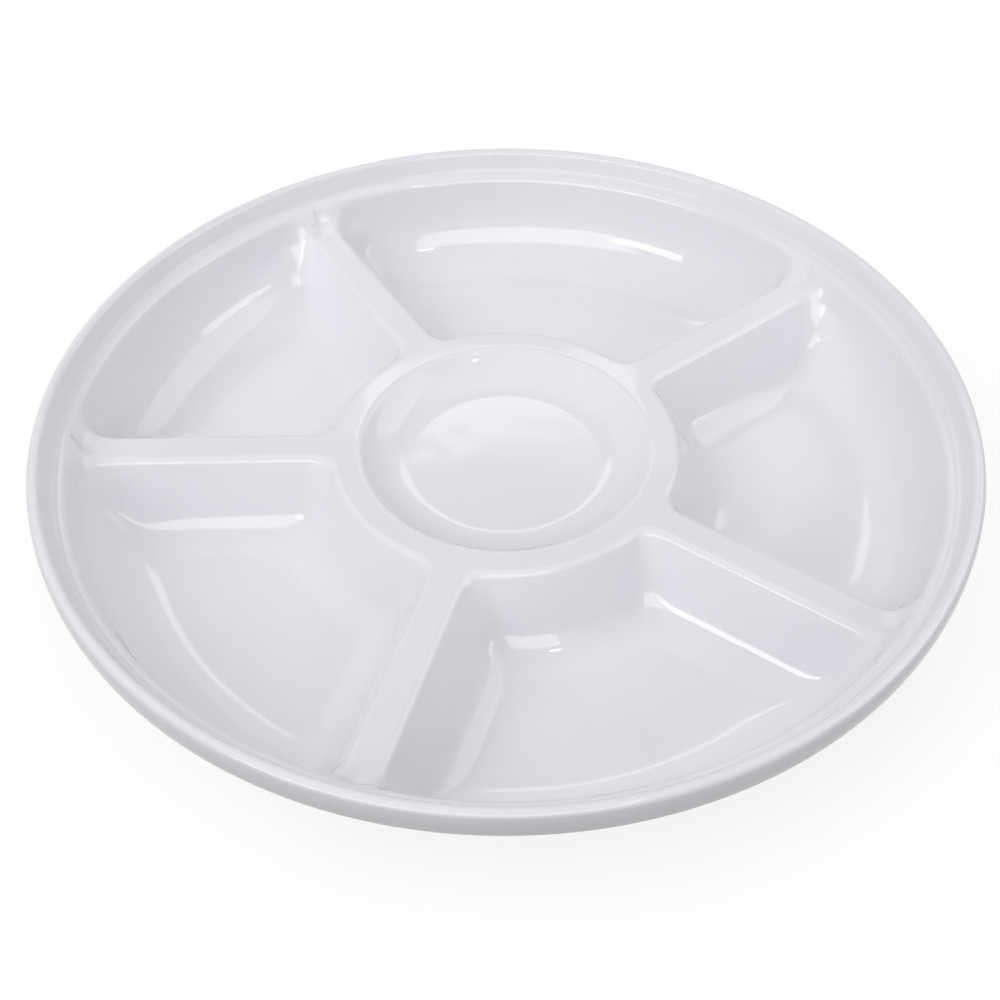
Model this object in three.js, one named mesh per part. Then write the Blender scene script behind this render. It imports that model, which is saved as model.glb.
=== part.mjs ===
// A round chip and dip platter: one glossy white moulding of even wall thickness.
// A flared rim and a narrow ledge surround five deep compartments. Five hollow dividers run in from the
// outer wall to a raised ring, and the ring holds a shallow round well for the dip.
// Millimetres, +Z up. The origin is the middle of the footprint, on the table.

import * as THREE from 'three';
import { mergeVertices } from 'three/addons/utils/BufferGeometryUtils.js';

// Driving dimensions
const RIM_RADIUS = 178; // to the widest line of the rim's outer face
const RIM_HEIGHT = 51; // crest of the rim above the table
const RIM_CREST_RADIUS = 1.2;
const RIM_WIDEST_DROP = 6; // from the crest to the widest line, where the mould parts
const RIM_FACE_RADIUS = 20; // swell of the outer face, in section
const RIM_LOWER_EDGE = 1.5; // rounding of the rim's lower outer edge
const RIM_FLARE = 68; // degrees: how steeply the rim's inner face rises from the ledge
const RIM_FOOT_FILLET = 3.6; // where the rim rises from the ledge
const WALL = 3; // thickness of the moulding

const LEDGE_DROP = 9; // from the rim's crest to the ledge
const LEDGE_FLAT = 0.4; // width of the ledge between its roundings

const DIVIDER_DROP = 18.5; // from the rim's crest to the tops of the dividers and the ring
const DIVIDER_FLAT = 8.6; // width of a divider's flat top, between its rounded edges
const FIRST_DIVIDER = 37; // degrees, counter-clockwise from +X
const COMPARTMENT_SPANS = [84, 60, 72, 72, 72]; // degrees from divider to divider

const SIDE_SLOPE = 64; // degrees: how steeply dividers and ring rise from the floor
const OUTER_SLOPE = 76; // degrees: how steeply the outer wall rises
const EDGE_RADIUS = 3.5; // rounding of every upper edge
const SIDE_FILLET = 16; // where dividers and ring meet the floor
const OUTER_FILLET = 24; // where the outer wall meets the floor
const DIVIDER_END_FILLET = 4.3; // where a divider's top meets the outer wall
const INNER_CORNER = 9; // length of the rounded corners beside the ring
const OUTER_CORNER = 15; // length of the rounded corners beside the outer wall, at the floor

const WELL_RADIUS = 57.6; // inner edge of the ring's flat top
const RING_FLAT = 7.2; // width of the ring's flat top
const WELL_DEPTH = 9.5;
const WELL_SLOPE = 45; // degrees
const WELL_FILLET = 12;

const SHARPEST_RADIUS = 0.3; // least rounding left on the underside's edges

// Facets
const FILLET_STEPS = 4;
const EDGE_STEPS = 2;
const FOOT_STEPS = 3;
const CREST_STEPS = 5;
const FACE_STEPS = 4;
const OUTER_ARC_STEPS = 12;
const INNER_ARC_STEPS = 4;
const SIDE_STEPS = 3;
const CORNER_STEPS = 6;

// Heights, radii and angles that follow
const { degToRad, lerp, radToDeg, smoothstep } = THREE.MathUtils;
const FLOOR_Z = WALL;
const LEDGE_Z = RIM_HEIGHT - LEDGE_DROP;
const DECK_Z = RIM_HEIGHT - DIVIDER_DROP;
const RIM = rimShape();
const LEDGE_INNER_RADIUS = RIM.foot.radius - LEDGE_FLAT;
const RING_RADIUS = WELL_RADIUS + RING_FLAT;
const RING_MIDDLE_RADIUS = WELL_RADIUS + RING_FLAT / 2;
const DIVIDER_END_LENGTH = dividerEnd(0)[0].run;
const DIVIDER_END_ANGLE = DIVIDER_END_LENGTH / LEDGE_INNER_RADIUS;
const INNER_CORNER_ANGLE = INNER_CORNER / RING_MIDDLE_RADIUS;
const HALF_CORNER_STEPS = CORNER_STEPS / 2;

const polar = (radius, angle, z) => new THREE.Vector3(radius * Math.cos(angle), radius * Math.sin(angle), z);

// A wall in section, from the floor up to a flat top: a fillet, a straight slope and a rounded edge.
// run is how far a point lies out from where the flat top ends, so it is greatest at the floor.
// skin is 0 for the upper side, and WALL for the underside that lies that far below it.
function wallSection(topZ, floorZ, slope, edgeRadius, filletRadius, skin) {
  const angle = degToRad(slope);
  const tangent = Math.tan(angle / 2);
  const edge = Math.max(edgeRadius - skin, SHARPEST_RADIUS);
  const fillet = filletRadius + skin;
  const topCorner = (edgeRadius - skin) * tangent;
  const edgeEnd = topCorner - edge * tangent;
  const filletEnd = topCorner + (topZ - floorZ) / Math.tan(angle) + fillet * tangent;
  const points = [];
  for (let i = 0; i <= FILLET_STEPS; i++) {
    const turn = (angle * i) / FILLET_STEPS;
    points.push({
      run: filletEnd - fillet * Math.sin(turn),
      z: floorZ - skin + fillet * (1 - Math.cos(turn)),
    });
  }
  for (let i = EDGE_STEPS; i >= 0; i--) {
    const turn = (angle * i) / EDGE_STEPS;
    points.push({
      run: edgeEnd + edge * Math.sin(turn),
      z: topZ - skin - edge * (1 - Math.cos(turn)),
    });
  }
  return points;
}

// The end of a divider's top in section, where it rises to the ledge.
function dividerEnd(skin) {
  return wallSection(LEDGE_Z, DECK_Z, OUTER_SLOPE, EDGE_RADIUS, DIVIDER_END_FILLET, skin);
}

// The height of a section at a distance from where its flat top ends.
function heightAt(section, run) {
  const above = Math.max(section.findIndex((point) => point.run < run), 1);
  const low = section[above - 1];
  const high = section[above];
  return lerp(low.z, high.z, (low.run - run) / (low.run - high.run));
}

// The sides of a compartment, ending on the middle line of a divider and of the ring. corner is the length
// of the rounded corner beside the outer wall: it grows from the divider's top down to the floor.
function sideSection(skin) {
  const section = wallSection(DECK_Z, FLOOR_Z, SIDE_SLOPE, EDGE_RADIUS, SIDE_FILLET, skin);
  const points = section.map(({ run, z }) => ({
    fromDivider: DIVIDER_FLAT / 2 + run,
    radius: RING_RADIUS + run,
    corner: lerp(OUTER_CORNER, DIVIDER_END_LENGTH, (z + skin - FLOOR_Z) / (DECK_Z - FLOOR_Z)),
    z,
  }));
  points.push({
    fromDivider: 0,
    radius: RING_MIDDLE_RADIUS,
    corner: DIVIDER_END_LENGTH,
    end: dividerEnd(skin),
    z: DECK_Z - skin,
  });
  return points;
}

// The outer wall of a compartment, ending on the inner edge of the ledge, with one more point where it
// passes the height of the dividers.
function outerSection(skin) {
  const section = wallSection(LEDGE_Z, FLOOR_Z, OUTER_SLOPE, EDGE_RADIUS, OUTER_FILLET, skin);
  const points = section.map(({ run, z }) => ({ radius: LEDGE_INNER_RADIUS - run, z }));
  const below = points[FILLET_STEPS];
  const above = points[FILLET_STEPS + 1];
  const share = (DECK_Z - skin - below.z) / (above.z - below.z);
  const passing = { radius: lerp(below.radius, above.radius, share), z: DECK_Z - skin };
  points.splice(FILLET_STEPS + 1, 0, passing);
  return points;
}

// A rounded corner between two sides of an outline: a quadratic curve that eases from one height to the
// other.
function roundedCorner(from, tip, to) {
  const points = [];
  for (let i = 1; i < CORNER_STEPS; i++) {
    const t = i / CORNER_STEPS;
    const point = from.clone().multiplyScalar((1 - t) ** 2);
    point.addScaledVector(tip, 2 * t * (1 - t)).addScaledVector(to, t ** 2);
    point.z = lerp(from.z, to.z, smoothstep(t, 0, 1));
    points.push(point);
  }
  return points;
}

// Half of one ring of a compartment, from the middle of its outer wall to the middle of its inner one. The
// compartment's middle line is +X, and the divider is turned from it by half the span.
// The outermost ring runs along the divider's middle line: its corners are square, and the divider's end
// rises there to the ledge.
function halfRing(halfSpan, side, outer) {
  const along = new THREE.Vector3(Math.cos(halfSpan), Math.sin(halfSpan), 0);
  const across = new THREE.Vector3(Math.sin(halfSpan), -Math.cos(halfSpan), 0);
  const besideDivider = (reach, z) =>
    new THREE.Vector3(0, 0, z).addScaledVector(along, reach).addScaledVector(across, side.fromDivider);
  const outerReach = Math.sqrt(outer.radius ** 2 - side.fromDivider ** 2);
  const innerReach = Math.sqrt(side.radius ** 2 - side.fromDivider ** 2);
  const outerTip = halfSpan - Math.asin(side.fromDivider / outer.radius);
  const innerTip = halfSpan - Math.asin(side.fromDivider / side.radius);
  const outerBend = outerTip - side.corner / LEDGE_INNER_RADIUS;
  const innerBend = innerTip - INNER_CORNER / side.radius;
  const sideStart = outerReach - side.corner;
  const sideEnd = innerReach + INNER_CORNER;
  const outermost = side.fromDivider === 0;

  const points = [];
  const halfOuterSteps = OUTER_ARC_STEPS / 2;
  for (let i = 0; i <= halfOuterSteps; i++) {
    points.push(polar(outer.radius, (outerBend * i) / halfOuterSteps, outer.z));
  }
  if (outermost) {
    for (let i = 1; i <= HALF_CORNER_STEPS; i++) {
      points.push(polar(outer.radius, lerp(outerBend, outerTip, i / HALF_CORNER_STEPS), outer.z));
    }
    for (let i = 1; i < HALF_CORNER_STEPS; i++) {
      const run = (side.corner * i) / HALF_CORNER_STEPS;
      points.push(besideDivider(outerReach - run, heightAt(side.end, run)));
    }
  } else {
    const tip = besideDivider(outerReach, outer.z);
    points.push(...roundedCorner(points.at(-1), tip, besideDivider(sideStart, side.z)));
  }
  for (let i = 0; i <= SIDE_STEPS; i++) {
    points.push(besideDivider(lerp(sideStart, sideEnd, i / SIDE_STEPS), side.z));
  }
  if (outermost) {
    for (let i = 1; i <= HALF_CORNER_STEPS; i++) {
      points.push(besideDivider(lerp(sideEnd, innerReach, i / HALF_CORNER_STEPS), side.z));
    }
    for (let i = 1; i < HALF_CORNER_STEPS; i++) {
      points.push(polar(side.radius, lerp(innerTip, innerBend, i / HALF_CORNER_STEPS), side.z));
    }
  } else {
    const tip = besideDivider(innerReach, side.z);
    points.push(...roundedCorner(points.at(-1), tip, polar(side.radius, innerBend, side.z)));
  }
  const halfInnerSteps = INNER_ARC_STEPS / 2;
  for (let i = 0; i <= halfInnerSteps; i++) {
    points.push(polar(side.radius, innerBend * (1 - i / halfInnerSteps), side.z));
  }
  return points;
}

// One whole ring of a compartment, counter-clockwise from above.
function compartmentRing(span, middle, side, outer) {
  const left = halfRing(degToRad(span / 2), side, outer);
  const right = left.slice(1, -1).map((p) => new THREE.Vector3(p.x, -p.y, p.z));
  const axis = new THREE.Vector3(0, 0, 1);
  return [...left, ...right.reverse()].map((p) => p.applyAxisAngle(axis, degToRad(middle)));
}

// The angles at which a compartment's outermost ring has points on a circle, from divider to divider.
function circleAngles(span, middle, cornerAngle, arcSteps) {
  const half = degToRad(span / 2);
  const bend = half - cornerAngle;
  const angles = [];
  for (let i = 0; i < HALF_CORNER_STEPS; i++) {
    angles.push(lerp(-half, -bend, i / HALF_CORNER_STEPS));
  }
  for (let i = 0; i < arcSteps; i++) {
    angles.push(lerp(-bend, bend, i / arcSteps));
  }
  for (let i = 0; i < HALF_CORNER_STEPS; i++) {
    angles.push(lerp(bend, half, i / HALF_CORNER_STEPS));
  }
  return angles.map((angle) => angle + degToRad(middle));
}

// The middles of the rim's four arcs in section. Crest and lower edge lie inside the swelling outer face and
// touch it at their lean, in degrees above level. The foot is where the flared inner face brings it.
function rimShape() {
  const face = { radius: RIM_RADIUS - RIM_FACE_RADIUS, z: RIM_HEIGHT - RIM_WIDEST_DROP };
  const insideFace = (arcRadius, z) => {
    const reach = RIM_FACE_RADIUS - arcRadius;
    const lean = Math.asin((z - face.z) / reach);
    return { radius: face.radius + reach * Math.cos(lean), z, lean: radToDeg(lean) };
  };
  const crest = insideFace(RIM_CREST_RADIUS, RIM_HEIGHT - RIM_CREST_RADIUS);
  const lower = insideFace(RIM_LOWER_EDGE, LEDGE_Z - WALL + RIM_LOWER_EDGE);
  const flare = degToRad(RIM_FLARE);
  const bothRadii = RIM_CREST_RADIUS + RIM_FOOT_FILLET;
  const footZ = LEDGE_Z + RIM_FOOT_FILLET;
  const faceRise = crest.z - footZ + bothRadii * Math.cos(flare);
  const foot = { radius: crest.radius - bothRadii * Math.sin(flare) - faceRise / Math.tan(flare), z: footZ };
  return { face, crest, lower, foot };
}

// Points on an arc in section, from one angle to another.
function sectionArc(middle, arcRadius, fromDegrees, toDegrees, steps) {
  return Array.from({ length: steps + 1 }, (_, i) => {
    const angle = degToRad(lerp(fromDegrees, toDegrees, i / steps));
    return { radius: middle.radius + arcRadius * Math.cos(angle), z: middle.z + arcRadius * Math.sin(angle) };
  });
}

// The rim in section: out along the ledge, up the flared inner face, over the crest, down the outer face,
// round the lower edge and back underneath.
function rimSection(endRadius) {
  const { face, crest, lower, foot } = RIM;
  return [
    { radius: LEDGE_INNER_RADIUS, z: LEDGE_Z },
    ...sectionArc(foot, RIM_FOOT_FILLET, -90, RIM_FLARE - 90, FOOT_STEPS),
    ...sectionArc(crest, RIM_CREST_RADIUS, 90 + RIM_FLARE, crest.lean, CREST_STEPS),
    ...sectionArc(face, RIM_FACE_RADIUS, crest.lean, lower.lean, FACE_STEPS).slice(1, -1),
    ...sectionArc(lower, RIM_LOWER_EDGE, lower.lean, -90, EDGE_STEPS),
    { radius: endRadius, z: LEDGE_Z - WALL },
  ];
}

// The dip well in section, from its floor to the middle of the ring's top.
function wellSection(skin) {
  const section = wallSection(DECK_Z, DECK_Z - WELL_DEPTH, WELL_SLOPE, EDGE_RADIUS, WELL_FILLET, skin);
  const points = section.map(({ run, z }) => ({ radius: WELL_RADIUS - run, z }));
  points.push({ radius: RING_MIDDLE_RADIUS, z: DECK_Z - skin });
  return points;
}

// The skin is gathered as triangles that face outwards.
const skinCorners = [];

// A loft joins rings of equal count, each further along the section than the last.
function loft(rings) {
  rings.slice(1).forEach((next, i) => {
    const ring = rings[i];
    ring.forEach((point, j) => {
      const k = (j + 1) % ring.length;
      skinCorners.push(point, next[j], next[k], point, next[k], ring[k]);
    });
  });
}

// A flat floor fans out from its middle; seen from underneath, it turns the other way.
function floorFan(ring, middle, skin) {
  ring.forEach((point, j) => {
    const next = ring[(j + 1) % ring.length];
    skinCorners.push(middle, ...(skin ? [next, point] : [point, next]));
  });
}

const rimAngles = [];
const ringAngles = [];
let divider = FIRST_DIVIDER;
for (const span of COMPARTMENT_SPANS) {
  const middle = divider + span / 2;
  for (const skin of [0, WALL]) {
    const sides = sideSection(skin);
    const outers = outerSection(skin);
    const rings = sides.map((side, i) => compartmentRing(span, middle, side, outers[i]));
    const floorMiddle = polar((sides[0].radius + outers[0].radius) / 2, degToRad(middle), sides[0].z);
    floorFan(rings[0], floorMiddle, skin);
    loft(skin ? rings.reverse() : rings);
  }
  rimAngles.push(...circleAngles(span, middle, DIVIDER_END_ANGLE, OUTER_ARC_STEPS));
  ringAngles.push(...circleAngles(span, middle, INNER_CORNER_ANGLE, INNER_ARC_STEPS));
  divider += span;
}

// A section turned about the platter's axis, as one ring of points for each of its own.
const revolve = (section, angles) =>
  section.map(({ radius, z }) => angles.map((angle) => polar(radius, angle, z)));

for (const skin of [0, WALL]) {
  const section = wellSection(skin);
  const rings = revolve(section, ringAngles);
  floorFan(rings[0], new THREE.Vector3(0, 0, section[0].z), skin);
  loft(skin ? rings.reverse() : rings);
}

loft(revolve(rimSection(outerSection(WALL).at(-1).radius), rimAngles));

const skinGeometry = mergeVertices(new THREE.BufferGeometry().setFromPoints(skinCorners));
skinGeometry.computeVertexNormals();

const whiteMelamine = new THREE.MeshStandardMaterial({ color: 0xededf2, roughness: 0.12, metalness: 0 });
const platter = new THREE.Mesh(skinGeometry, whiteMelamine);
platter.name = 'platter';

const object = new THREE.Group();
object.add(platter);

export default object;
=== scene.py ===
"""A round chip and dip platter of glossy white melamine, on a white table in soft studio light."""

import bmesh
import bpy
import numpy as np
from mathutils import Matrix


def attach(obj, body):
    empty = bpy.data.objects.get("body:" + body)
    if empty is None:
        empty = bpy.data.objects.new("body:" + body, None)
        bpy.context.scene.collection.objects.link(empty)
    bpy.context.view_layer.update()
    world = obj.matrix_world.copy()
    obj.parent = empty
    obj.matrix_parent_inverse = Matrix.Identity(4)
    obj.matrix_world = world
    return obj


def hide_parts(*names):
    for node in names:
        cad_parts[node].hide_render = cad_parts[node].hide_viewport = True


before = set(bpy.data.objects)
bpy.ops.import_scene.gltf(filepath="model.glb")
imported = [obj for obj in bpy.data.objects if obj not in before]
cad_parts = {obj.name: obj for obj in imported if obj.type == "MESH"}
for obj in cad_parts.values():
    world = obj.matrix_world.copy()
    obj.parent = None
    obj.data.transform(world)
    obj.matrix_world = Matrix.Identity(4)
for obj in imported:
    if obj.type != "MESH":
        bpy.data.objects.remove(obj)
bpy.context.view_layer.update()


# The platter is one melamine moulding, about 3 mm thick all over and glossy white on its upper side.
# The mould presses the dividers and the ring up hollow, so the underside repeats the upper side's shape.
# Its lengths are in millimetres and its angles in degrees.
mm = 0.001
wall = 3.0

rim_radius = 178.0
rim_height = 51.0
widest_z = rim_height - 6.0
ledge_z = rim_height - 9.0
deck_z = rim_height - 18.5
floor_z = wall
rim_slope = 72.0
crest_radius = 2.4
rim_face_radius = 20.0
lower_edge = 1.5
foot_fillet = 2.4
ledge_flat = 0.1

first_divider = 37.0
spans = (84.0, 60.0, 72.0, 72.0, 72.0)
divider_flat = 8.6
side_slope = 64.0
outer_slope = 76.0
edge_radius = 3.5
least_edge = 0.3
side_fillet = 19.0
outer_fillet = 30.0
end_fillet = 7.0
inner_corner = 9.0
outer_corner = 15.0
end_corner = 13.0

well_radius = 57.6
well_depth = 9.5
well_slope = 45.0
well_fillet = 24.0
ring_flat = 7.2
ring_radius = well_radius + ring_flat
ring_middle = well_radius + ring_flat / 2

# Rows of points go up the fillet, the wall and the edge, and then across the flat top. Columns go round the
# outer arc, a corner, the side and the inner arc of half a compartment.
upper_rows, under_rows = (15, 6, 9, 5), (7, 3, 4, 3)
end_rows = (40, 2, 40)
columns = (30, 17, 22, 15)
well_rows, well_under_rows = (12, 5, 7), (6, 3, 4)
ring_rows = 3
foot_steps, crest_steps, face_steps, lower_steps = 9, 13, 11, 8


def wall_section(top, bottom, slope, fillet, skin, rows):
    """A wall in section as (run, height) rows, from the floor up to a flat top.

    A fillet arc rises tangent to the floor until it has turned by the slope, a straight line goes on at that
    slope, and the edge arc turns back to level. Run counts outwards from where the flat top ends. The
    underside is the same curve, moved along its normal by skin, so its fillet grows and its edge shrinks.
    """
    fillet_rows, wall_rows, edge_rows = rows
    turn = np.radians(slope)
    half = np.tan(turn / 2)
    edge = max(edge_radius - skin, least_edge)
    corner = (edge_radius - skin) * half
    fillet_end = corner + (top - bottom) / np.tan(turn) + (fillet + skin) * half
    rising = np.linspace(0, turn, fillet_rows)
    low_run = fillet_end - (fillet + skin) * np.sin(rising)
    low_z = bottom - skin + (fillet + skin) * (1 - np.cos(rising))
    low = np.stack([low_run, low_z], 1)
    levelling = np.linspace(turn, 0, edge_rows)
    high_run = corner - edge * half + edge * np.sin(levelling)
    high_z = top - skin - edge * (1 - np.cos(levelling))
    high = np.stack([high_run, high_z], 1)
    between = low[-1] + np.linspace(0, 1, wall_rows + 2)[1:-1, None] * (high[0] - low[-1])
    return np.vstack([low, between, high])


def gentle(share):
    """A share eased at both ends: three times its square less twice its cube."""
    return share ** 2 * (3 - 2 * share)


def compartment_half(half_span, side, outer, end, columns):
    """Half of a compartment's wall as a grid of points: rows go up the wall, and columns go round it.

    A row follows the outer arc, a rounded corner, the straight line beside the divider, a second rounded
    corner and the arc beside the ring. A corner is a quadratic curve between its two tangents. Towards the
    divider's middle line the corners turn square, and the divider's top rises to the ledge as the section of
    its end does.
    """
    arc_columns, corner_columns, side_columns, inner_columns = columns
    offset, inner, side_z, length = (side[:, i:i + 1] for i in range(4))
    outer_radius, outer_z = outer[:, :1], outer[:, 1:]
    along = np.array([np.cos(half_span), np.sin(half_span)])
    across = np.array([np.sin(half_span), -np.cos(half_span)])
    reach = np.sqrt(outer_radius ** 2 - offset ** 2)
    inner_reach = np.sqrt(inner ** 2 - offset ** 2)
    tip = half_span - np.arcsin(offset / outer_radius)
    inner_tip = half_span - np.arcsin(offset / inner)
    bend = tip - length / ledge_inner
    inner_bend = inner_tip - inner_corner / inner
    start = reach - length
    stop = inner_reach + inner_corner
    round_share = gentle(np.clip(offset / (divider_flat / 2), 0, 1))[..., None]
    turning = np.linspace(0, 1, corner_columns + 2)[1:-1]
    first_leg = np.clip(2 * turning, 0, 1)
    second_leg = np.clip(2 * turning - 1, 0, 1)

    def polar(radius, angle):
        """Points at a radius and an angle from the platter's middle."""
        return np.stack([radius * np.cos(angle), radius * np.sin(angle)], -1)

    def beside(distance):
        """Points at a distance along the divider, and at each row's offset from its middle line."""
        return distance[..., None] * along + offset[..., None] * across

    def corner(before, tip_point, after, to_tip, from_tip):
        """A corner's curve, and where it turns square the two legs to and from its tip."""
        u = turning[None, :, None]
        square = np.where(u < 0.5, to_tip, from_tip)
        curve = (1 - u) ** 2 * before + 2 * u * (1 - u) * tip_point + u ** 2 * after
        return square + (curve - square) * round_share

    arc = polar(outer_radius, bend * np.linspace(0, 1, arc_columns))
    arc_z = outer_z + 0 * arc[..., 0]

    to_tip = polar(outer_radius, bend + (tip - bend) * first_leg)
    from_tip = beside(reach + (start - reach) * second_leg)
    outer_turn = corner(polar(outer_radius, bend), beside(reach), beside(start), to_tip, from_tip)
    square_z = np.interp(ledge_inner - outer_radius + length * second_leg, end[::-1, 0], end[::-1, 1])
    round_z = outer_z + (side_z - outer_z) * gentle(turning)
    outer_turn_z = square_z + (round_z - square_z) * round_share[..., 0]

    straight = beside(start + (stop - start) * np.linspace(0, 1, side_columns))

    to_tip = beside(stop + (inner_reach - stop) * first_leg)
    from_tip = polar(inner, inner_tip + (inner_bend - inner_tip) * second_leg)
    inner_turn = corner(beside(stop), beside(inner_reach), polar(inner, inner_bend), to_tip, from_tip)

    inner_arc = polar(inner, inner_bend * np.linspace(1, 0, inner_columns))

    rest = np.concatenate([straight, inner_turn, inner_arc], 1)
    plan = np.concatenate([arc, outer_turn, rest], 1)
    height = np.concatenate([arc_z, outer_turn_z, side_z + 0 * rest[..., 0]], 1)
    return np.concatenate([plan, height[..., None]], -1)


def compartment(span, middle, skin, rows):
    """A compartment's whole wall: one half, its mirror image, and a turn to the compartment's place."""
    fillet_rows, wall_rows, edge_rows, flat_rows = rows
    section = wall_section(deck_z, floor_z, side_slope, side_fillet, skin, rows[:3])
    side = np.stack([divider_flat / 2 + section[:, 0], ring_radius + section[:, 0], section[:, 1]], 1)
    across_top = np.linspace(0, 1, flat_rows + 1)[1:, None]
    middle_line = np.array([0, ring_middle, deck_z - skin])
    side = np.vstack([side, side[-1] + across_top * (middle_line - side[-1])])
    depth = (deck_z - skin - side[:, 2:]) / (deck_z - floor_z)
    side = np.hstack([side, end_corner + (outer_corner - end_corner) * depth])
    end = wall_section(ledge_z, deck_z, outer_slope, end_fillet, skin, end_rows)

    section_rows = (fillet_rows, 0, flat_rows + 1)
    section = wall_section(ledge_z, floor_z, outer_slope, outer_fillet, skin, section_rows)
    low, high = section[:fillet_rows], section[fillet_rows:]
    climb = high[0] - low[-1]
    passing = low[-1] + climb * (side[fillet_rows + wall_rows, 2] - low[-1, 1]) / climb[1]
    below = low[-1] + np.linspace(0, 1, wall_rows + 2)[1:, None] * (passing - low[-1])
    above = passing + np.linspace(0, 1, edge_rows)[1:-1, None] * (high[0] - passing)
    section = np.vstack([low, below, above, high])
    outer = np.stack([ledge_inner - section[:, 0], section[:, 1]], 1)

    half = compartment_half(np.radians(span / 2), side, outer, end, columns)
    mirrored = half[:, -2:0:-1] * np.array([1, -1, 1])
    whole = np.concatenate([half, mirrored], 1)
    turn = np.radians(middle)
    spin = np.array([[np.cos(turn), np.sin(turn), 0], [-np.sin(turn), np.cos(turn), 0], [0, 0, 1]])
    return whole @ spin


def turned(section, angles):
    """A surface of revolution: each (radius, height) of the section is carried round the angles."""
    radius, height = section[:, :1], section[:, 1:]
    return np.stack([radius * np.cos(angles), radius * np.sin(angles), height + 0 * angles], -1)


def arc_section(radius, height, size, start, stop, steps):
    """Points of a circle of that size in section, from one angle in degrees to another."""
    turn = np.radians(np.linspace(start, stop, steps))
    return np.stack([radius + size * np.cos(turn), height + size * np.sin(turn)], 1)


def inside_face(size, height):
    """The middle radius and touching angle of an arc that touches the rim's outer face from inside.

    Two circles that touch so have their middles as far apart as their radii differ, and the arc's height
    then gives the angle.
    """
    reach = rim_face_radius - size
    lean = np.arcsin((height - widest_z) / reach)
    return rim_radius - rim_face_radius + reach * np.cos(lean), np.degrees(lean)


crest, crest_lean = inside_face(crest_radius, rim_height - crest_radius)
lower, lower_lean = inside_face(lower_edge, ledge_z - wall + lower_edge)
rim_turn = np.radians(rim_slope)
both_radii = crest_radius + foot_fillet
face_rise = rim_height - ledge_z - both_radii + both_radii * np.cos(rim_turn)
foot = crest - both_radii * np.sin(rim_turn) - face_rise / np.tan(rim_turn)
ledge_inner = foot - ledge_flat
glossy, satin = 0, 1
skin_points, skin_faces, skin_slots, skin_edge, skin_floor = [], [], [], [], []


def add_grid(grid, slot, edge, floor, fan=None):
    """Adds a grid whose columns close round, as four-sided faces, and a fan of triangles in its first row.

    Edge and floor give each row's share of being a rounded upper edge or a floor, which the melamine's wear
    follows. The satin side is turned to face down. A grid without a middle point for its fan has no fan.
    """
    if slot == satin:
        grid = grid[:, ::-1]
    rows, columns = grid.shape[:2]
    base = sum(len(points) for points in skin_points)
    index = base + np.arange(rows * columns).reshape(rows, columns)
    after = np.roll(index, -1, axis=1)
    quads = np.stack([index[:-1], index[1:], after[1:], after[:-1]], -1).reshape(-1, 4)
    skin_points.append(grid.reshape(-1, 3))
    skin_edge.append(np.repeat(edge, columns))
    skin_floor.append(np.repeat(floor, columns))
    skin_faces.extend(quads.tolist())
    skin_slots.extend([slot] * len(quads))
    if fan is not None:
        skin_points.append(np.array([fan]))
        skin_edge.append(np.zeros(1))
        skin_floor.append(np.ones(1))
        centre = np.full(columns, base + rows * columns)
        triangles = np.stack([centre, index[0], after[0]], -1)
        skin_faces.extend(triangles.tolist())
        skin_slots.extend([slot] * columns)


def row_shares(rows, total):
    """For each row from the floor up, its share of being a rounded upper edge and that of being floor.

    The first falls off evenly on both sides of the edge arc's middle, and the second fades out up the fillet.
    """
    edge_spread, floor_reach = 1.3, 0.6
    fillet_rows, wall_rows, edge_rows = rows
    row = np.arange(total)
    middle = fillet_rows + wall_rows + (edge_rows - 1) / 2
    edge = np.clip(edge_spread - np.abs(row - middle) / (edge_rows / 2), 0, 1)
    floor = np.clip(1 - row / (floor_reach * fillet_rows), 0, 1)
    return edge, floor


# The rim and the ring are turned through the angles of the compartments' last rows, so they share points.
rim_angles, ring_angles = [], []
on_circle = 1e-6
divider = first_divider
for span in spans:
    middle = divider + span / 2
    for skin, slot, rows in ((0.0, glossy, upper_rows), (wall, satin, under_rows)):
        grid = compartment(span, middle, skin, rows)
        edge, floor = row_shares(rows[:3], len(grid))
        add_grid(grid, slot, edge, floor, fan=grid[0].mean(0))
        if slot == glossy:
            edge_line = grid[-1]
            radius = np.hypot(edge_line[:, 0], edge_line[:, 1])
            angle = np.degrees(np.arctan2(edge_line[:, 1], edge_line[:, 0]))
            lean = (angle - middle + 180) % 360 - 180
            for angles, circle in ((rim_angles, ledge_inner), (ring_angles, ring_middle)):
                leans = np.sort(lean[np.abs(radius - circle) < on_circle])
                angles.append(np.radians(middle + leans[:-1]))
    divider += span
rim_angles, ring_angles = np.concatenate(rim_angles), np.concatenate(ring_angles)

for skin, slot, rows in ((0.0, glossy, well_rows), (wall, satin, well_under_rows)):
    section = wall_section(deck_z, deck_z - well_depth, well_slope, well_fillet, skin, rows)
    section[:, 0] = well_radius - section[:, 0]
    across_top = np.linspace(0, 1, ring_rows + 1)[1:, None]
    to_middle = across_top * (np.array([ring_middle, deck_z - skin]) - section[-1])
    well = turned(np.vstack([section, section[-1] + to_middle]), ring_angles)
    edge, floor = row_shares(rows, len(well))
    add_grid(well, slot, edge, floor, fan=np.array([0, 0, section[0, 1]]))

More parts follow.
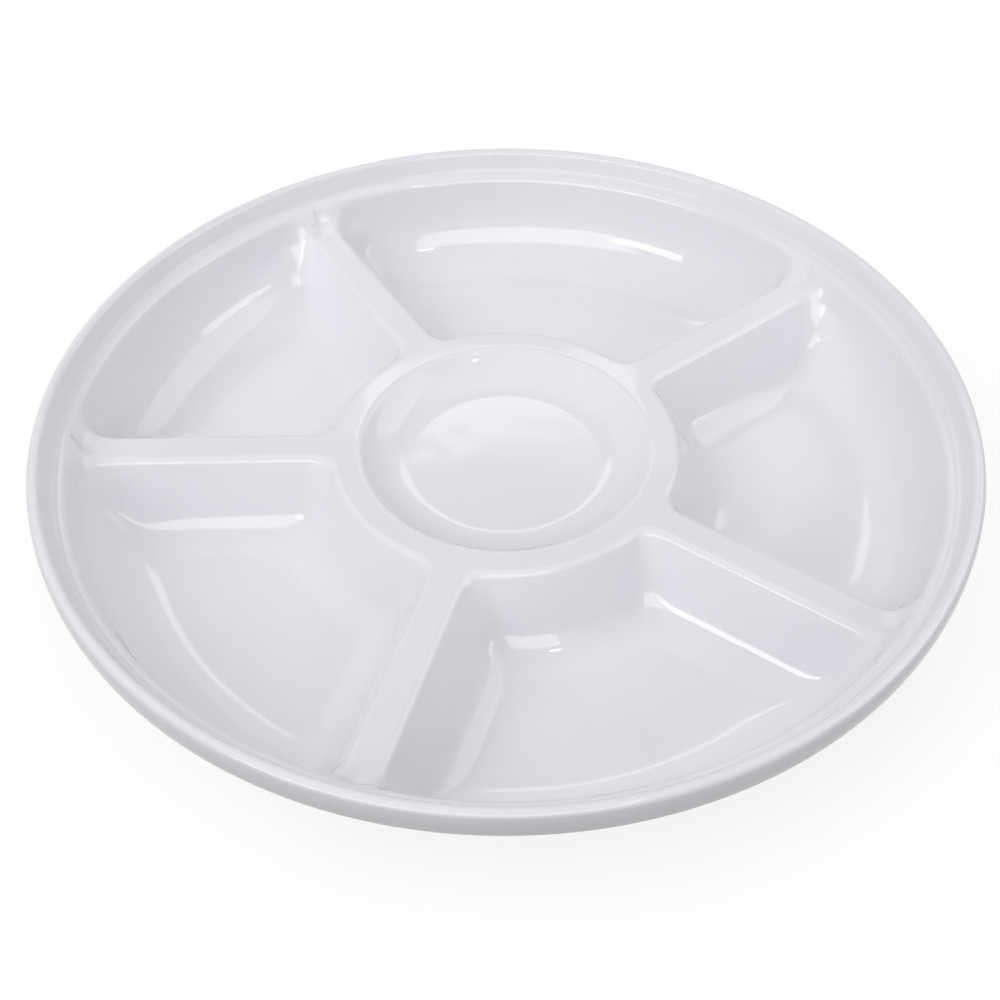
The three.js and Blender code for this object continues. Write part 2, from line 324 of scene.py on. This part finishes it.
face_middle = rim_radius - rim_face_radius
rim = np.vstack([
    [[ledge_inner, ledge_z]],
    arc_section(foot, ledge_z + foot_fillet, foot_fillet, -90, rim_slope - 90, foot_steps),
    arc_section(crest, rim_height - crest_radius, crest_radius, 90 + rim_slope, crest_lean, crest_steps),
    arc_section(face_middle, widest_z, rim_face_radius, crest_lean, lower_lean, face_steps)[1:-1],
    arc_section(lower, ledge_z - wall + lower_edge, lower_edge, lower_lean, -90, lower_steps),
    [[ledge_inner, ledge_z - wall]],
])
worn_depth, worn_fade = 3.0, 2.5
crest_share = np.clip((rim[:, 1] - rim_height + worn_depth) / worn_fade, 0, 1)
add_grid(turned(rim, rim_angles), glossy, crest_share, np.zeros(len(rim)))

weld_distance = 0.002 * mm
platter_mesh = bpy.data.meshes.new("platter_skin")
platter_mesh.from_pydata((np.vstack(skin_points) * mm).tolist(), [], skin_faces)
platter_mesh.polygons.foreach_set("material_index", skin_slots)
for name, shares in (("edge", skin_edge), ("floor", skin_floor)):
    attribute = platter_mesh.attributes.new(name, "FLOAT", "POINT")
    attribute.data.foreach_set("value", np.concatenate(shares))
merged = bmesh.new()
merged.from_mesh(platter_mesh)
bmesh.ops.remove_doubles(merged, verts=merged.verts, dist=weld_distance)
merged.to_mesh(platter_mesh)
merged.free()
platter_mesh.polygons.foreach_set("use_smooth", np.ones(len(platter_mesh.polygons), bool))
platter = bpy.data.objects.new("platter_skin", platter_mesh)
bpy.context.scene.collection.objects.link(platter)


def shader_node(tree, kind, inputs, **settings):
    """Adds a node with its settings to a tree, and puts a value or another node's output into each input."""
    made = tree.nodes.new("ShaderNode" + kind)
    for name, value in settings.items():
        setattr(made, name, value)
    for name, value in inputs.items():
        if isinstance(value, bpy.types.NodeSocket):
            tree.links.new(value, made.inputs[name])
        else:
            made.inputs[name].default_value = value
    return made


def math_node(tree, operation, *values):
    """What an operation makes of its values, each of which is a number or another node's output."""
    return shader_node(tree, "Math", dict(enumerate(values)), operation=operation).outputs[0]


def noise_node(tree, where, scale, **inputs):
    """A noise's strength at each place."""
    return shader_node(tree, "TexNoise", {"Vector": where, "Scale": scale, **inputs}).outputs["Fac"]


def range_node(tree, value, low, high, **inputs):
    """How far a value has gone from low to high, as a share of one unless other ends are given."""
    ends = {"Value": value, "From Min": low, "From Max": high, **inputs}
    return shader_node(tree, "MapRange", ends).outputs["Result"]


def tint_node(tree, share, colour, tint):
    """A colour that is darkened by a tint, as far as the share says."""
    mixed = {"Factor": share, "A": colour, "B": tint}
    return shader_node(tree, "Mix", mixed, data_type="RGBA", blend_type="MULTIPLY").outputs["Result"]


# Moulded melamine: a faint cloudiness of the resin, fine scratches left by forks and spoons on the floors,
# upper edges rubbed dull by stacking, and the slight waviness of a pressed and glazed skin.
melamine = bpy.data.node_groups.new("moulded_melamine", "ShaderNodeTree")
for name, kind in (("Colour", "Color"), ("Roughness", "Float"), ("Scratches", "Float")):
    melamine.interface.new_socket(name, in_out="INPUT", socket_type="NodeSocket" + kind)
for name, kind in (("Colour", "Color"), ("Roughness", "Float"), ("Height", "Float")):
    melamine.interface.new_socket(name, in_out="OUTPUT", socket_type="NodeSocket" + kind)
given = melamine.nodes.new("NodeGroupInput").outputs
results = melamine.nodes.new("NodeGroupOutput").inputs
where = shader_node(melamine, "TexCoord", {}).outputs["Object"]
edge_share = shader_node(melamine, "Attribute", {}, attribute_name="edge").outputs["Fac"]
floor_share = shader_node(melamine, "Attribute", {}, attribute_name="floor").outputs["Fac"]

cloud_tint, cloud_scale, cloud_most = (0.955, 0.955, 0.965, 1), 22.0, 0.5
cloud = noise_node(melamine, where, cloud_scale, Detail=3.0, Roughness=0.55)
cloud_share = range_node(melamine, cloud, 0.35, 0.7, **{"To Max": cloud_most})
clouded = tint_node(melamine, cloud_share, given["Colour"], cloud_tint)

rub_tint, rub_scale, rub_strength = (0.93, 0.92, 0.91, 1), 130.0, 0.25
rub = noise_node(melamine, where, rub_scale, Detail=4.0, Roughness=0.6)
rubbed = math_node(melamine, "MULTIPLY", range_node(melamine, rub, 0.42, 0.68), edge_share)
rub_share = math_node(melamine, "MULTIPLY", rubbed, rub_strength)
dulled = tint_node(melamine, rub_share, clouded, rub_tint)

scratch_tint, scratch_strength = (0.90, 0.90, 0.91, 1), 0.25
scratch_ways = ((0.5, (16, 900, 60)), (2.1, (14, 1100, 60)))
lines = []
for turn, stretch in scratch_ways:
    placing = {"Vector": where, "Rotation": (0, 0, turn), "Scale": stretch}
    along_line = shader_node(melamine, "Mapping", placing).outputs["Vector"]
    lines.append(range_node(melamine, noise_node(melamine, along_line, 1.0, Detail=1.0), 0.70, 0.76))
crossed = math_node(melamine, "MAXIMUM", *lines)
used = math_node(melamine, "MULTIPLY", floor_share, given["Scratches"])
scratch = math_node(melamine, "MULTIPLY", crossed, used)
scratch_share = math_node(melamine, "MULTIPLY", scratch, scratch_strength)
scratched = tint_node(melamine, scratch_share, dulled, scratch_tint)
melamine.links.new(scratched, results["Colour"])

cloud_haze, rub_haze, scratch_haze = 0.05, 0.12, 0.25
haze = given["Roughness"]
for mark, roughening in ((cloud, cloud_haze), (rubbed, rub_haze), (scratch, scratch_haze)):
    haze = math_node(melamine, "MULTIPLY_ADD", mark, roughening, haze)
melamine.links.new(haze, results["Roughness"])

wave_scale, peel_scale, peel_height = 45.0, 520.0, 0.02
wave = noise_node(melamine, where, wave_scale, Detail=1.0)
peel = noise_node(melamine, where, peel_scale, Detail=1.0)
melamine.links.new(math_node(melamine, "MULTIPLY_ADD", peel, peel_height, wave), results["Height"])

# The upper side comes glossy from the polished mould, and the underside satin.
white_resin = (0.84, 0.84, 0.88, 1)
wave_depth = 0.1 * mm
finishes = (("glossy_melamine", 0.03, 0.5), ("satin_underside", 0.34, 1.0))
for name, roughness, scratches in finishes:
    finish = bpy.data.materials.new(name)
    finish.use_nodes = True
    tree = finish.node_tree
    look = {"Colour": white_resin, "Roughness": roughness, "Scratches": scratches}
    resin = shader_node(tree, "Group", look, node_tree=melamine).outputs
    bump = shader_node(tree, "Bump", {"Height": resin["Height"], "Strength": 1.0, "Distance": wave_depth})
    shader = tree.nodes["Principled BSDF"].inputs
    tree.links.new(resin["Colour"], shader["Base Color"])
    tree.links.new(resin["Roughness"], shader["Roughness"])
    tree.links.new(bump.outputs["Normal"], shader["Normal"])
    platter_mesh.materials.append(finish)

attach(platter, "root")
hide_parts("platter")


# The table is a plain white top that keeps a soft shadow of the platter. What looks at it, straight or in a
# reflection, sees it lit up from within, and wholly so further off. It throws little light back up.
table_half = 4.0
dark_tone, paper_tone = 0.15, 0.9
paper_glow, glow_share = 1.1, 0.75
shadow_reach, white_reach = 0.3, 1.1


def flat_sheet(name, half_width, half_height):
    """A flat rectangle round the origin, in metres."""
    corners = [(x * half_width, y * half_height, 0) for x, y in ((-1, -1), (1, -1), (1, 1), (-1, 1))]
    mesh = bpy.data.meshes.new(name)
    mesh.from_pydata(corners, [], [(0, 1, 2, 3)])
    sheet = bpy.data.objects.new(name, mesh)
    bpy.context.scene.collection.objects.link(sheet)
    return sheet


def seen_ray(tree):
    """One for a ray from the camera, a reflection or glass, and nought for light that falls on things."""
    rays = shader_node(tree, "LightPath", {}).outputs
    seen = math_node(tree, "MAXIMUM", rays["Is Camera Ray"], rays["Is Glossy Ray"])
    return math_node(tree, "MAXIMUM", seen, rays["Is Transmission Ray"])


table = flat_sheet("table", table_half, table_half)
paper = bpy.data.materials.new("white_table")
paper.use_nodes = True
tree = paper.node_tree
tree.nodes.remove(tree.nodes["Principled BSDF"])
seen = seen_ray(tree)
tone = math_node(tree, "MULTIPLY_ADD", seen, paper_tone - dark_tone, dark_tone)
matt = shader_node(tree, "BsdfDiffuse", {"Color": tone}).outputs[0]
lit = shader_node(tree, "Emission", {"Color": (1, 1, 1, 1), "Strength": paper_glow}).outputs[0]
spot = shader_node(tree, "TexCoord", {}).outputs["Object"]
away = shader_node(tree, "VectorMath", {0: spot}, operation="LENGTH").outputs["Value"]
glowing = range_node(tree, away, shadow_reach, white_reach, **{"To Min": glow_share})
lit_share = math_node(tree, "MULTIPLY", seen, glowing)
shown = shader_node(tree, "MixShader", {0: lit_share, 1: matt, 2: lit}).outputs[0]
tree.links.new(shown, tree.nodes["Material Output"].inputs["Surface"])
table.data.materials.append(paper)


# The light is a studio's. The room is white to look at and gives only a little light of its own, so lamps and
# cards stand round the platter.
room_light = 0.1
world = bpy.data.worlds.new("studio")
bpy.context.scene.world = world
world.use_nodes = True
tree = world.node_tree
dim = tree.nodes["Background"]
dim.inputs["Color"].default_value = (1, 1, 1, 1)
dim.inputs["Strength"].default_value = room_light
white = shader_node(tree, "Background", {"Color": (1, 1, 1, 1), "Strength": 1.0}).outputs[0]
shown = shader_node(tree, "MixShader", {0: seen_ray(tree), 1: dim.outputs[0], 2: white}).outputs[0]
tree.links.new(shown, tree.nodes["World Output"].inputs["Surface"])


def facing(azimuth, elevation, distance, roll=0):
    """The placing of a flat thing that faces the platter, seen from it at that azimuth and elevation."""
    turn, lift, tilt = np.radians([azimuth, elevation, roll])
    back = np.array([np.cos(turn) * np.cos(lift), np.sin(turn) * np.cos(lift), np.sin(lift)])
    level = np.array([-np.sin(turn), np.cos(turn), 0])
    side = level * np.cos(tilt) + np.cross(back, level) * np.sin(tilt)
    placing = np.eye(4)
    placing[:3] = np.stack([side, np.cross(back, side), back, back * distance], 1)
    return Matrix(placing.tolist())


def soft_box(name, azimuth, elevation, distance, width, height, glow, roll=0, mirrored=False):
    """A lamp as wide and high in degrees as given, whose face is glow times as bright as white paper.

    One that is mirrored lights nothing and is only seen in the gloss. The others are left out of the gloss.
    """
    lamp = bpy.data.lights.new(name, "AREA")
    lamp.shape = "RECTANGLE"
    lamp.size, lamp.size_y = 2 * distance * np.tan(np.radians([width / 2, height / 2]))
    lamp.energy = glow * np.pi * lamp.size * lamp.size_y
    holder = bpy.data.objects.new(name, lamp)
    holder.matrix_world = facing(azimuth, elevation, distance, roll)
    holder.visible_camera = False
    holder.visible_diffuse = not mirrored
    holder.visible_glossy = mirrored
    bpy.context.scene.collection.objects.link(holder)


# Soft boxes all round light the platter, most of all from the left. Each has its azimuth, elevation and
# distance, and then its width, height and glow.
soft_box("overhead_box", 270, 88, 1.5, 66, 56, 0.7)
soft_box("left_box", 197, 46, 1.8, 50, 32, 2.4)
soft_box("front_box", 245, 22, 1.8, 86, 28, 0.98)
soft_box("front_right_box", 315, 25, 1.8, 40, 30, 1.6)
soft_box("right_box", 22, 42, 1.8, 56, 34, 0.72)
soft_box("back_box", 90, 45, 1.8, 60, 34, 0.65)

# White cards show only in the gloss: above, at the right, over the camera, low at the left and the right, and
# one whose reflection lies in the well. A small spark shows as points of light.
soft_box("overhead_card", 270, 88, 1.5, 66, 56, 1.0, mirrored=True)
soft_box("right_card", 15, 40, 1.8, 50, 32, 1.2, mirrored=True)
soft_box("camera_card", 264, 36, 1.6, 52, 28, 2.8, roll=8, mirrored=True)
soft_box("low_left_card", 227, 26, 1.2, 18, 11, 5.5, mirrored=True)
soft_box("low_right_card", 350, 22, 1.4, 26, 10, 3.0, mirrored=True)
soft_box("well_card", 90.5, 42.6, 0.9, 17, 5, 1.8, roll=3, mirrored=True)
soft_box("right_spark", 299, 55, 0.9, 3, 3, 18.0, mirrored=True)

# The grey card is a felt board that stands high behind the platter, beyond the picture. Its reflection tones
# down the floors nearest the camera.
card_half_width, card_half_height = 1.0, 0.35
card_tone, card_glow = (0.02, 0.02, 0.02, 1), 0.4
card = flat_sheet("grey_card", card_half_width, card_half_height)
card.matrix_world = facing(82, 54.5, 2.2)
felt = bpy.data.materials.new("grey_card")
felt.use_nodes = True
grey = felt.node_tree.nodes["Principled BSDF"].inputs
grey["Base Color"].default_value = card_tone
grey["Roughness"].default_value = 0.9
grey["Emission Color"].default_value = (1, 1, 1, 1)
grey["Emission Strength"].default_value = card_glow
card.data.materials.append(felt)


# The camera stands in front of the platter and looks down at it from a few rim radii away, as the photograph
# does. It aims at the middle of the rim's top and is then turned a little from there.
lens_pixels, picture_pixels, sensor = 1459.42, 1000, 36.0
radii_away = 3.108
distance = radii_away * rim_radius * mm
look_down = np.radians(42.655)
yaw, pitch, roll = np.radians([-0.220, 3.634, 0.235])
place = np.array([0, -distance * np.cos(look_down), distance * np.sin(look_down)])
forward = -place / distance
right = np.array([1.0, 0, 0])
axes = np.stack([right, np.cross(right, forward), -forward])
turn_yaw = np.array([[np.cos(yaw), 0, np.sin(yaw)], [0, 1, 0], [-np.sin(yaw), 0, np.cos(yaw)]])
turn_pitch = np.array([[1, 0, 0], [0, np.cos(pitch), -np.sin(pitch)], [0, np.sin(pitch), np.cos(pitch)]])
turn_roll = np.array([[np.cos(roll), -np.sin(roll), 0], [np.sin(roll), np.cos(roll), 0], [0, 0, 1]])
axes = turn_roll @ turn_pitch @ turn_yaw @ axes
stand = np.eye(4)
stand[:3, :3] = axes.T
stand[:3, 3] = place + np.array([0, 0, rim_height * mm])
lens = bpy.data.cameras.new("camera")
lens.sensor_fit = "HORIZONTAL"
lens.sensor_width = sensor
lens.lens = sensor * lens_pixels / picture_pixels
lens.clip_start = 0.01
camera = bpy.data.objects.new("camera", lens)
camera.matrix_world = Matrix(stand.tolist())
bpy.context.scene.collection.objects.link(camera)
bpy.context.scene.camera = camera

bpy.context.scene.view_settings.view_transform = "Standard"
